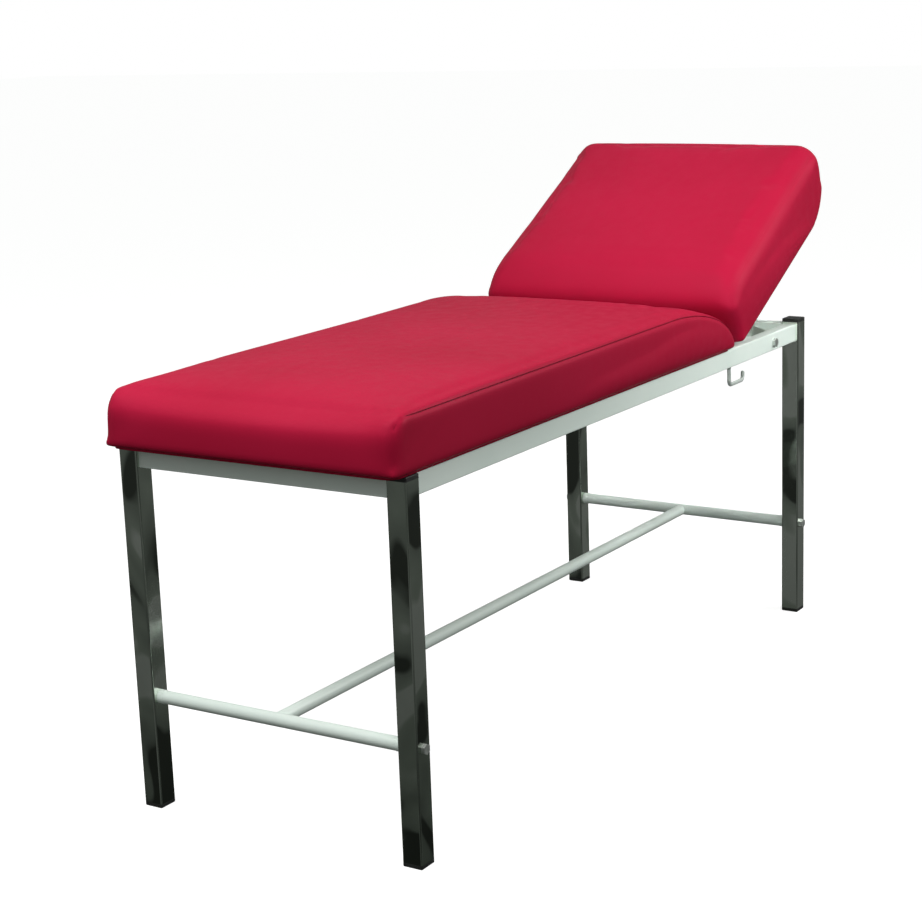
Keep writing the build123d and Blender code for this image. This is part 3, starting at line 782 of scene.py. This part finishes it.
lit = tree.nodes.new("ShaderNodeBackground")
seen = tree.nodes.new("ShaderNodeBackground")
seen.inputs["Color"].default_value = (1, 1, 1, 1)
tree.links.new(sky.outputs["Color"], lit.inputs["Color"])
dim = tree.nodes.new("ShaderNodeMath")
dim.operation = "MULTIPLY_ADD"
dim.inputs[1].default_value = -0.12
dim.inputs[2].default_value = 1.0
tree.links.new(path.outputs["Is Glossy Ray"], dim.inputs[0])
tree.links.new(dim.outputs[0], lit.inputs["Strength"])
mix = tree.nodes.new("ShaderNodeMixShader")
out = tree.nodes.new("ShaderNodeOutputWorld")
tree.links.new(path.outputs["Is Camera Ray"], mix.inputs["Fac"])
tree.links.new(lit.outputs[0], mix.inputs[1])
tree.links.new(seen.outputs[0], mix.inputs[2])
tree.links.new(mix.outputs[0], out.inputs["Surface"])


def softbox(name, at, aim, wide, high, watts, spread):
    data = bpy.data.lights.new(name, "AREA")
    data.shape = "RECTANGLE"
    data.size = wide
    data.size_y = high
    data.energy = watts
    data.color = (1, 1, 0.99)
    data.spread = math.radians(spread)
    obj = bpy.data.objects.new(name, data)
    scene.collection.objects.link(obj)
    obj.location = at
    obj.rotation_mode = "QUATERNION"
    obj.rotation_quaternion = (Vector(aim) - Vector(at)).to_track_quat("-Z", "Y")


LAMPS = (
    # name, place, aim, width, height, watts, spread in degrees
    ("top_light", (-1.5, 0.1, 2.8), (-1.0, 0, 0.8), 2.4, 2.4, 74, 180),
    ("side_light", (1.7, -2.7, 2.4), (0.5, -0.25, 0.8), 1.6, 1.4, 60, 180),
    ("valley_light", (-1.1, -2.3, 2.3), (0.62, -0.25, 0.92), 0.9, 0.9, 1.7, 24),
    ("foot_light", (-3.6, -0.8, 1.6), (-0.6, 0, 0.5), 1.4, 1.0, 2, 180),
)
for lamp in LAMPS:
    softbox(*lamp)

scene.view_settings.view_transform = "Standard"
scene.view_settings.look = "None"

CAMERA_AT = (-3.4742, -2.0893, 1.4489)
CAMERA_AHEAD = (0.82008, 0.52538, -0.22681)
CAMERA_ROLL = math.radians(-2.058)
camera = bpy.data.objects.new("camera", bpy.data.cameras.new("camera"))
scene.collection.objects.link(camera)
camera.data.lens = 78.18
camera.data.sensor_width = 36
ahead = Vector(CAMERA_AHEAD).normalized()
level = ahead.cross(Vector((0, 0, 1))).normalized()
upright = level.cross(ahead)
right = level * math.cos(CAMERA_ROLL) + upright * math.sin(CAMERA_ROLL)
up = right.cross(ahead)
place = Matrix((right, up, -ahead)).transposed().to_4x4()
place.translation = CAMERA_AT
camera.matrix_world = place
scene.camera = camera
